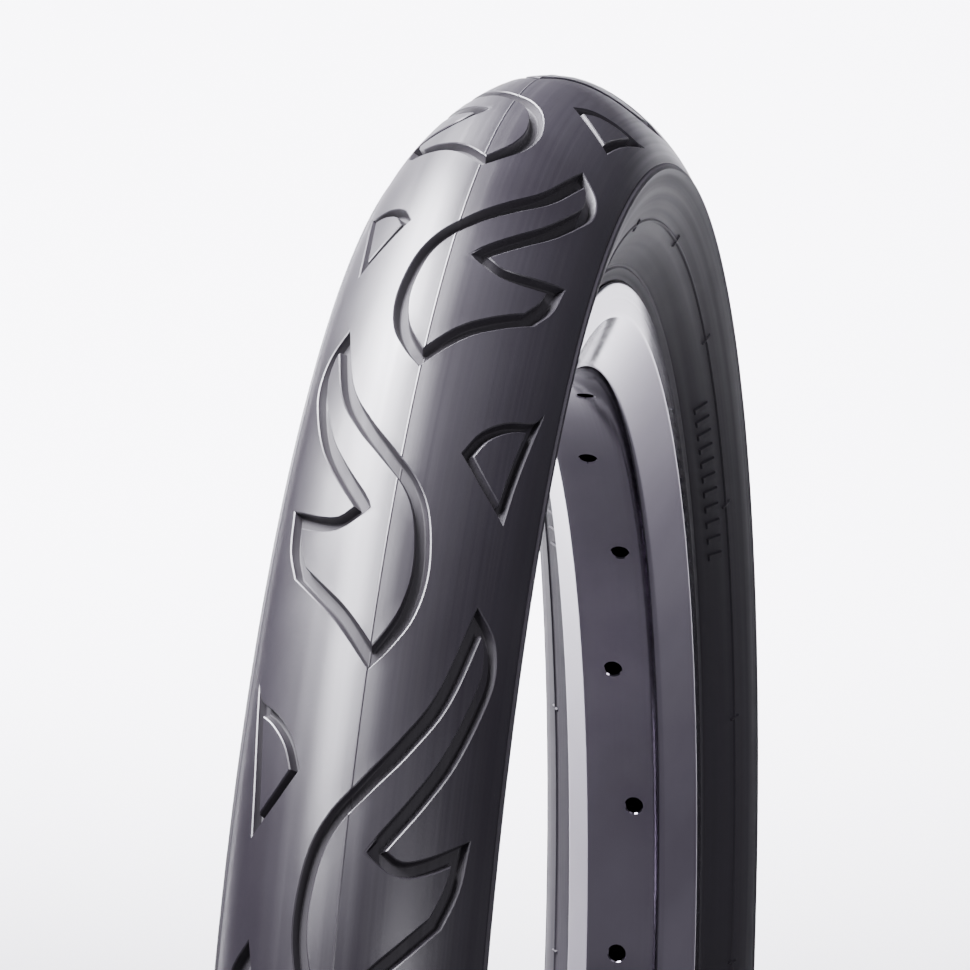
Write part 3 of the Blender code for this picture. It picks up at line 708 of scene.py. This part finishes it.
def tread_slice():
    """Two flames and two fins, one pair to each side, on one repeat of the tread."""
    length = FULL_TURN * CROWN_RADIUS * 2 / FLAMES
    lines = []
    channels = []
    for side, tail in ((-1, FIRST_TAIL), (1, FIRST_TAIL + FULL_TURN / FLAMES)):
        for outline, width in ((flame_outline(), FLAME_CHANNEL), (fin_outline(), FIN_CHANNEL)):
            placed = outline * (-1, side) + ((tail * CROWN_RADIUS) % length, 0)
            lines += channel_lines(placed, width)
            channels += [(placed + (shift, 0), width) for shift in (-length, 0, length)]
    ridge = 2 * PARTING_RIDGE
    corners, faces = patterned_strip(length, -TREAD_EDGE, TREAD_EDGE, lines,
                                     (-ridge, 0, ridge), *TREAD_STEPS)
    depth = np.zeros(len(corners))
    for outline, width in channels:
        depth = np.maximum(depth, channel_depth(inside_distance(corners, outline), width))
    depth -= PARTING_RIDGE * np.clip(1 - np.abs(corners[:, 1]) / ridge, 0, 1)
    top = on_skin(corners[:, 0] / CROWN_RADIUS, corners[:, 1], depth)

    along = np.unique(np.round(corners[np.abs(corners[:, 1] - TREAD_EDGE) < 1e-6, 0], 7))
    shares = np.linspace(-1, 1, UNDERSIDE_POINTS)
    blend = np.clip((1 - np.abs(shares)) / EDGE_THINNING, 0, 1)
    inner = SKIN_DEPTH + (TREAD_DEPTH - SKIN_DEPTH) * blend * blend * (3 - 2 * blend)
    path = [(-TREAD_EDGE, 0)] + list(zip(shares * TREAD_EDGE, inner)) + [(TREAD_EDGE, 0)]
    under = swept_path(along, path, lambda a, arc, down: on_skin(a / CROWN_RADIUS, arc, down))
    # the sunk share drives the painted shade that darkens the channels in the tread's material
    return slice_mesh(*joined([(top, faces), under]), sunk=np.clip(depth / CHANNEL_DEPTH, 0, 1))


# ---------------- the sidewalls

def bar_outline(along, low, high, width, lean):
    """The outline of a raised bar, whose high side is moved along by the lean."""
    corners = [(along, low), (along + width, low),
               (along + width + lean, high), (along + lean, high)]
    runs = [[corners[i], corners[(i + 1) % 4]] for i in range(4)]
    return outline_of(runs, step=2 * MM)


def sidewall_bars(length):
    """The raised marks on one repeat of a sidewall: slanted bars, and ticks across the mould line."""
    bars = []
    low = MOULD_LINE + 3.2 * MM
    high = MOULD_LINE + 8.6 * MM
    for index in range(BARS):
        bars.append(bar_outline(FIRST_BAR + index * BAR_PITCH, low, high, BAR_WIDTH, BAR_LEAN))
    low = MOULD_LINE - TICK_REACH
    high = MOULD_LINE + TICK_REACH
    for share in TICK_SHARES:
        bars.append(bar_outline(share * length, low, high, TICK_WIDTH, 0))
    return bars


def sidewall_slice(side):
    """One repeat of a sidewall, from the tread's edge to the hem."""
    length = FULL_TURN * WIDEST_RADIUS / RELIEF_REPEATS
    bars = sidewall_bars(length)
    lines = bars + [offset_line(bar, BAR_SLOPE) for bar in bars]
    start = TREAD_EDGE + 0.05 * MM
    edge_ridge = tuple(TREAD_EDGE + offset * MM for offset in (0.4, 0.8, 1.6, 2.2))
    mould_ridge = tuple(MOULD_LINE + offset * MM for offset in (-0.5, -0.15, 0.15, 0.5))
    groove = tuple(HEM_EDGE - offset * MM for offset in (4.4, 3.9, 3.3, 2.8))
    corners, faces = patterned_strip(length, start, HEM_EDGE, lines,
                                     edge_ridge + mould_ridge + groove, *SIDEWALL_STEPS)
    height = np.zeros(len(corners))
    for bar in bars:
        share = np.clip(inside_distance(corners, bar) / BAR_SLOPE, 0, 1)
        height = np.maximum(height, BAR_HEIGHT * share)
    arc = corners[:, 1]
    height = np.maximum(height, np.interp(arc, edge_ridge, [0, 0.45 * MM, 0.45 * MM, 0]))
    height = np.maximum(height, np.interp(arc, mould_ridge, [0, 0.35 * MM, 0.35 * MM, 0]))
    height += np.interp(arc, groove, [0, -0.35 * MM, -0.35 * MM, 0])
    top = on_skin(corners[:, 0] / WIDEST_RADIUS, side * arc, -height)

    along = np.unique(np.round(corners[np.abs(arc - start) < 1e-6, 0], 7))
    thinning = arc_at_radius(FOOT_RADIUS)
    inner = [(at, np.interp(at, (thinning, HEM_EDGE), (SKIN_DEPTH, HEM_DEPTH)))
             for at in np.linspace(start, HEM_EDGE, 16)]
    path = [(start, 0)] + inner + [(HEM_EDGE, 0)]
    under = swept_path(along, path, lambda a, at, down: on_skin(a / WIDEST_RADIUS, side * at, down))
    return slice_mesh(*joined([(top, faces), under]))


# ---------------- rings and turned pieces, made finer

def cad_sections(node, across):
    """The closed or open lines in which the half plane through +X cuts a turned CAD piece.

    across is 1 where the piece is turned about the axle and 2 where about the valve's axis. Each
    line is an array of (radius, across) points.
    """
    bm = bmesh.new()
    bm.from_mesh(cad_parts[node].data)
    bmesh.ops.remove_doubles(bm, verts=bm.verts, dist=0.002 * MM)
    other = 3 - across
    near = 0.002 * MM
    plane = {vert for vert in bm.verts if abs(vert.co[other]) < near and vert.co.x > -near}
    links = {vert: [] for vert in plane}
    for edge in bm.edges:
        first, second = edge.verts
        if first in plane and second in plane and (first.co.x > near or second.co.x > near):
            if not any(abs(face.normal[other]) > 0.999 for face in edge.link_faces):
                links[first].append(second)
                links[second].append(first)
    lines = []
    left = {vert for vert in plane if links[vert]}
    while left:
        ends = [vert for vert in left if len(links[vert]) == 1]
        here = min(ends or left, key=lambda vert: (round(vert.co[across], 6), round(vert.co.x, 6)))
        line = []
        while here is not None:
            line.append((here.co.x, here.co[across]))
            left.discard(here)
            here = next((vert for vert in links[here] if vert in left), None)
        lines.append((np.array(line), not ends))
    bm.free()
    return [(turned_one_way(line, lines), closed) for line, closed in lines]


def signed_area(line):
    return np.sum(line[:, 0] * np.roll(line[:, 1], -1) - np.roll(line[:, 0], -1) * line[:, 1]) / 2


def turned_one_way(line, lines):
    """The line, anticlockwise where it bounds a body and clockwise where a hollow inside one."""
    others = [other for other, closed in lines if closed and other is not line]
    hollow = any(inside_distance(line[:1], other)[0] > 0 for other in others)
    return line if (signed_area(line) > 0) != hollow else line[::-1]


def section_slice(lines, copies, across):
    """The lines and themselves one step further round, with quads between."""
    parts = []
    for line, closed in lines:
        step = FULL_TURN / copies
        stations = []
        for angle in (0, step):
            cosine, sine = math.cos(angle), math.sin(angle)
            if across == 1:
                stations += [(r * cosine, w, -r * sine) for r, w in line]
            else:
                stations += [(r * cosine, r * sine, w) for r, w in line]
        count = len(line)
        faces = []
        for i in range(count if closed else count - 1):
            following = (i + 1) % count
            faces.append((i, following, following + count, i + count))
        parts.append((np.array(stations), faces))
    return slice_mesh(*joined(parts))


def finer_ring(node, finish, hole_span=None):
    """A CAD ring turned again in fine steps, with the valve's hole if it has one."""
    lines = cad_sections(node, across=1)
    mesh = repeated(section_slice(lines, RING_SLICES, across=1), RING_SLICES, finish)
    if hole_span:
        face_out(mesh, even=True)
        mesh = bored(mesh, STEM_HOLE_RADIUS, *hole_span)
    return add_piece("fine_" + node, mesh, "root", node)


def turned_mesh(node, finish, copies=48):
    """A piece of the valve turned again in fine steps, closed at its axis if it is solid there."""
    lines = []
    for line, closed in cad_sections(node, across=2):
        if not closed:
            line = np.vstack([(0, line[0][1]), line, (0, line[-1][1])])
        lines.append((line, closed))
    return repeated(section_slice(lines, copies, across=2), copies, finish, VALVE_AXIS)


def finer_turned(node, finish, body="root"):
    return add_piece("fine_" + node, turned_mesh(node, finish), body, node)


# ---------------- the rim

def filleted(corners, steps=5, straight=0.3 * MM):
    """The line through the corners, each of them (radius, width, fillet), with arcs at its fillets."""
    places = [np.array(corner[:2]) for corner in corners]
    line = [places[0]]
    for before, here, after, corner in zip(places, places[1:], places[2:], corners[1:]):
        fillet = corner[2]
        back = (before - here) / np.linalg.norm(before - here)
        onward = (after - here) / np.linalg.norm(after - here)
        half_angle = math.acos(back @ onward) / 2
        reach = fillet / math.tan(half_angle)
        bisector = (back + onward) / np.linalg.norm(back + onward)
        centre = here + bisector * fillet / math.sin(half_angle)
        line.append(here + back * (reach + straight))
        for share in np.linspace(0, 1, steps + 1):
            spoke = here + back * reach * (1 - share) + onward * reach * share - centre
            line.append(centre + spoke * fillet / np.linalg.norm(spoke))
        line.append(here + onward * (reach + straight))
    line.append(places[-1])
    return line


def rim_outer_line():
    """(radius, width) from the edge of the bed, over the flange and its lip, to the edge of the well."""
    face = RIM_HALF_WIDTH - FLANGE_THICKNESS
    lip = FLANGE_THICKNESS / 2 - 0.05 * MM
    return filleted([
        (BED_RADIUS, BED_EDGE, 0),
        (BED_RADIUS + 0.25 * MM, BED_EDGE + 1.2 * MM, 0.8 * MM),
        (FLANGE_RADIUS - 8.3 * MM, RIM_HALF_WIDTH, 1.6 * MM),
        (FLANGE_RADIUS, RIM_HALF_WIDTH, lip),
        (FLANGE_RADIUS, face, lip),
        (SEAT_RADIUS, face, 0.7 * MM),
        (SEAT_RADIUS, SEAT_EDGE, 0.5 * MM),
        (WELL_RADIUS, WELL_EDGE, 0),
    ])


def on_rim(turn, width, radius):
    turn, width, radius = np.broadcast_arrays(turn, width, radius)
    return np.stack([-radius * np.sin(turn), width, radius * np.cos(turn)], -1)


def hole_rings(hole_radius, sides=28):
    """The two spoke holes of one repeat, as (along the bed, across)."""
    angles = np.arange(sides) * FULL_TURN / sides
    ring = hole_radius * np.stack([np.cos(angles), np.sin(angles)], 1)
    length = FULL_TURN * BED_RADIUS / PAIRS
    return [ring + (length * share, offset)
            for share, offset in ((0.25, SPOKE_HOLE_OFFSET), (0.75, -SPOKE_HOLE_OFFSET))]


def holed_band(radius, half_width, hole_radius):
    """One repeat of a band round the axle, without its two spoke holes."""
    length = FULL_TURN * BED_RADIUS / PAIRS
    rings = hole_rings(hole_radius)
    corners, faces = patterned_strip(length, -half_width, half_width, rings, (),
                                     length / PAIR_STATIONS, BAND_STEP)
    middle = corners[faces].mean(1)
    in_hole = [np.linalg.norm(middle - ring.mean(0), axis=1) < 0.98 * hole_radius for ring in rings]
    kept = faces[~(in_hole[0] | in_hole[1])]
    return on_rim(corners[:, 0] / BED_RADIUS, corners[:, 1], radius), kept


def hole_walls(levels):
    """The walls of the two spoke holes, through levels of (radius from the axle, radius of the hole)."""
    parts = []
    for index in (0, 1):
        rings = [hole_rings(hole_radius)[index] for radius, hole_radius in levels]
        sides = len(rings[0])
        points = [on_rim(ring[:, 0] / BED_RADIUS, ring[:, 1], radius)
                  for ring, (radius, hole_radius) in zip(rings, levels)]
        faces = [(level * sides + i, level * sides + (i + 1) % sides,
                  (level + 1) * sides + (i + 1) % sides, (level + 1) * sides + i)
                 for level in range(len(levels) - 1) for i in range(sides)]
        parts.append((np.vstack(points), faces))
    return joined(parts)


def rim_slice():
    """Two spoke holes and the rim round them: bed, sides, flanges, seats, well and the hollow."""
    stations = np.linspace(0, FULL_TURN / PAIRS, PAIR_STATIONS + 1)
    floor = BED_RADIUS + RIM_WALL
    roof = WELL_RADIUS - RIM_WALL
    ease = 0.3 * MM
    parts = [
        holed_band(BED_RADIUS, BED_EDGE, SPOKE_HOLE_RADIUS + ease),
        holed_band(floor, HOLLOW_FLOOR_EDGE, SPOKE_HOLE_RADIUS),
        holed_band(roof, SEAT_EDGE, NIPPLE_HOLE_RADIUS),
        holed_band(WELL_RADIUS, WELL_EDGE, NIPPLE_HOLE_RADIUS + ease),
        hole_walls([(BED_RADIUS, SPOKE_HOLE_RADIUS + ease), (BED_RADIUS + ease, SPOKE_HOLE_RADIUS),
                    (floor, SPOKE_HOLE_RADIUS)]),
        hole_walls([(roof, NIPPLE_HOLE_RADIUS), (WELL_RADIUS - ease, NIPPLE_HOLE_RADIUS),
                    (WELL_RADIUS, NIPPLE_HOLE_RADIUS + ease)]),
    ]
    hollow_side = [(floor, HOLLOW_FLOOR_EDGE), (roof, SEAT_EDGE)]
    for side in (-1, 1):
        for line in (rim_outer_line(), hollow_side):
            path = [(side * width, radius) for radius, width in line]
            parts.append(swept_path(stations, path, on_rim))
    return slice_mesh(*joined(parts))


def make_rim(finish):
    mesh = repeated(rim_slice(), PAIRS, finish)
    face_out(mesh)
    mesh = bored(mesh, STEM_HOLE_RADIUS, -(WELL_RADIUS + 2 * MM), -(BED_RADIUS - 3 * MM))
    add_piece("polished_rim", mesh, "root", "rim", 35)


# ---------------- the valve

def ribbed_cap_slice():
    """One rib of the cap and the plain stretch beside it: outside, top, and the bore below."""
    outer = CAP_RADIUS
    rib = CAP_RIB * (0.5 - 0.5 * np.cos(np.linspace(0, FULL_TURN, CAP_RIB_STEPS + 1)))
    angles = np.linspace(0, FULL_TURN / CAP_RIBS, CAP_RIB_STEPS + 1)
    rib_foot = CAP_LOW + 1.0 * MM
    rib_head = CAP_HIGH - 2.0 * MM
    rib_end = 0.4 * MM
    ease = 0.15 * MM
    shoulder = 0.5 * MM
    levels = [
        (outer - ease, CAP_LOW, 0), (outer, CAP_LOW + ease, 0), (outer, rib_foot, 0),
        (outer, rib_foot + rib_end, 1), (outer, rib_head - rib_end, 1), (outer, rib_head, 0),
        (outer, CAP_HIGH - shoulder, 0), (outer - ease, CAP_HIGH - ease, 0),
        (outer - shoulder, CAP_HIGH, 0), (0, CAP_HIGH, 0),
    ]
    bore = [(0, CAP_ROOF, 0), (CAP_BORE, CAP_ROOF, 0), (CAP_BORE, CAP_LOW, 0),
            (outer - ease, CAP_LOW, 0)]
    points = []
    for angle, height in zip(angles, rib):
        for radius, z, share in bore + levels:
            here = radius + share * height
            points.append((here * math.cos(angle), here * math.sin(angle), z))
    width = len(bore) + len(levels)
    faces = [(corner, corner + 1, corner + width + 1, corner + width)
             for column in range(CAP_RIB_STEPS)
             for corner in range(column * width, (column + 1) * width - 1)]
    return slice_mesh(points, faces)


def make_thread(finish):
    """The barrel's thread: a ridge wound round it, half sunk in."""
    turns = (BARREL_HIGH - THREAD_FOOT - 2 * THREAD_RIDGE) / THREAD_PITCH
    values = {
        "Coil Radius": STEM_RADIUS - THREAD_RIDGE, "Wire Radius": THREAD_RIDGE, "Wire Sides": 4,
        "Height": turns * THREAD_PITCH, "Turns": turns,
        "Foot": (0, 0, THREAD_FOOT + THREAD_RIDGE), "Finish": finish,
    }
    return made_by_tree(WIRE_COIL, bpy.data.meshes.new("nothing"), values)


def make_spring(finish):
    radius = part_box("core_spring")[1].x - SPRING_WIRE
    height = SPRING_HIGH - SPRING_LOW - 2 * SPRING_WIRE
    values = {
        "Coil Radius": radius, "Wire Radius": SPRING_WIRE, "Wire Sides": 8, "Height": height,
        "Turns": SPRING_TURNS, "Foot": (0, 0, SPRING_LOW + SPRING_WIRE), "Finish": finish,
    }
    mesh = made_by_tree(WIRE_COIL, bpy.data.meshes.new("nothing"), values)
    spring = add_piece("fine_core_spring", mesh, "root", "core_spring")
    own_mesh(spring)


# ---------------- floor, light and camera

def make_floor():
    mesh = bpy.data.meshes.new("studio_floor")
    bm = bmesh.new()
    bmesh.ops.create_grid(bm, x_segments=8, y_segments=8, size=12)
    bm.to_mesh(mesh)
    bm.free()
    floor = bpy.data.objects.new("studio_floor", mesh)
    floor.location = (0, 0, -CROWN_RADIUS)
    bpy.context.scene.collection.objects.link(floor)
    material, tree, shader = new_finish("pale_floor", specular=0.2)
    shade = noise(tree, place_on_piece(tree), 2, 2)
    colour = two_tone(tree, shade, (0.86, 0.86, 0.87), (0.9, 0.9, 0.9))
    connect(tree, shader, colour, spread(tree, shade, 0.6, 0.7))
    mesh.materials.append(material)
    return floor


def aim(obj, place, target):
    obj.location = place
    obj.rotation_euler = (Vector(target) - Vector(place)).to_track_quat("-Z", "Y").to_euler()


def add_softbox(name, place, target, size, power, spread_angle=180, kept_off=None):
    """A rectangular light, which may be kept off the objects of a collection."""
    light = bpy.data.lights.new(name, "AREA")
    light.shape = "RECTANGLE"
    light.size, light.size_y = size
    light.spread = math.radians(spread_angle)
    light.energy = power
    light.color = (0.94, 0.92, 1)
    obj = bpy.data.objects.new(name, light)
    bpy.context.scene.collection.objects.link(obj)
    aim(obj, place, target)
    if kept_off:
        obj.light_linking.receiver_collection = kept_off


def make_lights(floor):
    """Three softboxes kept off the floor, a room light above and a wash over the floor behind."""
    world = bpy.data.worlds.new("studio")
    world.use_nodes = True
    background = world.node_tree.nodes["Background"]
    background.inputs["Color"].default_value = (0.86, 0.84, 1, 1)
    background.inputs["Strength"].default_value = 0.14
    bpy.context.scene.world = world
    kept_off = bpy.data.collections.new("kept_off_the_floor")
    kept_off.objects.link(floor)
    kept_off.collection_objects[0].light_linking.link_state = "EXCLUDE"
    target = (-0.05, 0, 0.12)
    add_softbox("high_left_softbox", (0.0, 1.0, 1.86), target, (2.4, 1.1), 450, kept_off=kept_off)
    add_softbox("back_left_softbox", (0.96, 1.14, 1.35), target, (1.3, 0.9), 190, kept_off=kept_off)
    add_softbox("front_right_softbox", (-1.29, -1.48, 0.64), target, (0.85, 0.75), 30,
                kept_off=kept_off)
    add_softbox("room_light", (0, 0, 3.6), (0, 0, 0), (6, 6), 120)
    add_softbox("floor_wash", (2.9, 0.55, 1.0), (2.9, 0.55, -0.25), (4.2, 1.6), 220, 50)


def make_camera():
    """A long lens, from the front right and a little above."""
    camera = bpy.data.objects.new("camera", bpy.data.cameras.new("camera"))
    camera.data.lens = CAMERA_LENS
    camera.data.sensor_width = 36
    camera.data.clip_end = 100
    level = math.cos(CAMERA_RISE)
    back = Vector((math.sin(CAMERA_TURN) * level, -math.cos(CAMERA_TURN) * level,
                   math.sin(CAMERA_RISE)))
    bpy.context.scene.collection.objects.link(camera)
    aim(camera, CAMERA_TARGET + back * CAMERA_DISTANCE, CAMERA_TARGET)
    bpy.context.scene.camera = camera


REPEAT_ROUND = repeat_round_tree()
WIRE_COIL = coil_tree()

tread_rubber = moulded_rubber("tread_rubber", (0.006, 0.0045, 0.007), (0.012, 0.0105, 0.014),
                              0.3, 0.44, 900, 0.55)
sidewall_rubber = moulded_rubber("sidewall_rubber", (0.006, 0.005, 0.007), (0.012, 0.01, 0.014),
                                 0.5, 0.7, 900, 0.28)
tube_rubber = moulded_rubber("tube_rubber", (0.03, 0.03, 0.032), (0.07, 0.07, 0.07), 0.5, 0.75, 700)
strip_rubber = moulded_rubber("strip_rubber", (0.05, 0.045, 0.04), (0.08, 0.07, 0.06), 0.5, 0.7, 700)
seal_rubber = moulded_rubber("seal_rubber", (0.012, 0.012, 0.012), (0.02, 0.02, 0.02), 0.4, 0.6, 3000)
breaker_cloth = cord_cloth("breaker_cloth", (0.28, 0.2, 0.12), (0.05, 0.04, 0.035), 1.2 * MM, 0.6)
ply_nylon = cord_cloth("ply_nylon", (0.3, 0.22, 0.14), (0.05, 0.04, 0.035), 1.0 * MM, 0.9)
chafer_cloth = cord_cloth("chafer_cloth", (0.03, 0.028, 0.03), (0.015, 0.014, 0.016), 0.8 * MM, 0.7)
bead_steel = drawn_metal("bead_steel", (0.38, 0.33, 0.26), (0.5, 0.46, 0.4), 0.25, 0.4, 900)
spring_steel = drawn_metal("spring_steel", (0.5, 0.5, 0.5), (0.62, 0.62, 0.62), 0.2, 0.35, 3000)
valve_brass = drawn_metal("valve_brass", (0.6, 0.5, 0.34), (0.72, 0.64, 0.48), 0.22, 0.38, 1500, (1, 1, 4))
sleeve_aluminium = drawn_metal("sleeve_aluminium", (0.68, 0.68, 0.7), (0.78, 0.78, 0.8),
                               0.3, 0.45, 600, (0.2, 1, 1))
cap_plastic = moulded_plastic("cap_plastic", (0.018, 0.018, 0.02), (0.03, 0.03, 0.032))
rim_polish = polished_rim_metal()

tread = repeated(tread_slice(), FLAMES // 2, tread_rubber)
add_piece("flame_tread", tread, "root", "tread", 24)
for side, name in ((1, "sidewall_left"), (-1, "sidewall_right")):
    mesh = repeated(sidewall_slice(side), RELIEF_REPEATS, sidewall_rubber)
    add_piece("moulded_" + name, mesh, "root", name, 24)

finer_ring("breaker_strip", breaker_cloth)
for name in ("casing_ply_outer", "casing_ply_inner"):
    finer_ring(name, ply_nylon)
for side in ("left", "right"):
    finer_ring("bead_wire_" + side, bead_steel)
    finer_ring("chafer_" + side, chafer_cloth)
finer_ring("inner_tube", tube_rubber, TUBE_HOLE_SPAN)
finer_ring("rim_strip", strip_rubber, STRIP_HOLE_SPAN)
make_rim(rim_polish)
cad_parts["joint_sleeve"].material_slots[0].material = sleeve_aluminium

finer_turned("valve_stem", tube_rubber)
barrel = joined_meshes(turned_mesh("valve_barrel", valve_brass), make_thread(valve_brass))
add_piece("threaded_barrel", barrel, "root", "valve_barrel")
finer_turned("core_plug", valve_brass)
finer_turned("core_gasket", seal_rubber)
finer_turned("core_pin", valve_brass, "core_pin")
finer_turned("core_seal", seal_rubber, "core_pin")
finer_turned("cap_seal", seal_rubber, "cap_liner")
cap_mesh = repeated(ribbed_cap_slice(), CAP_RIBS, cap_plastic, VALVE_AXIS)
add_piece("ribbed_cap", cap_mesh, "cap", "valve_cap")
make_spring(spring_steel)

make_lights(make_floor())
make_camera()
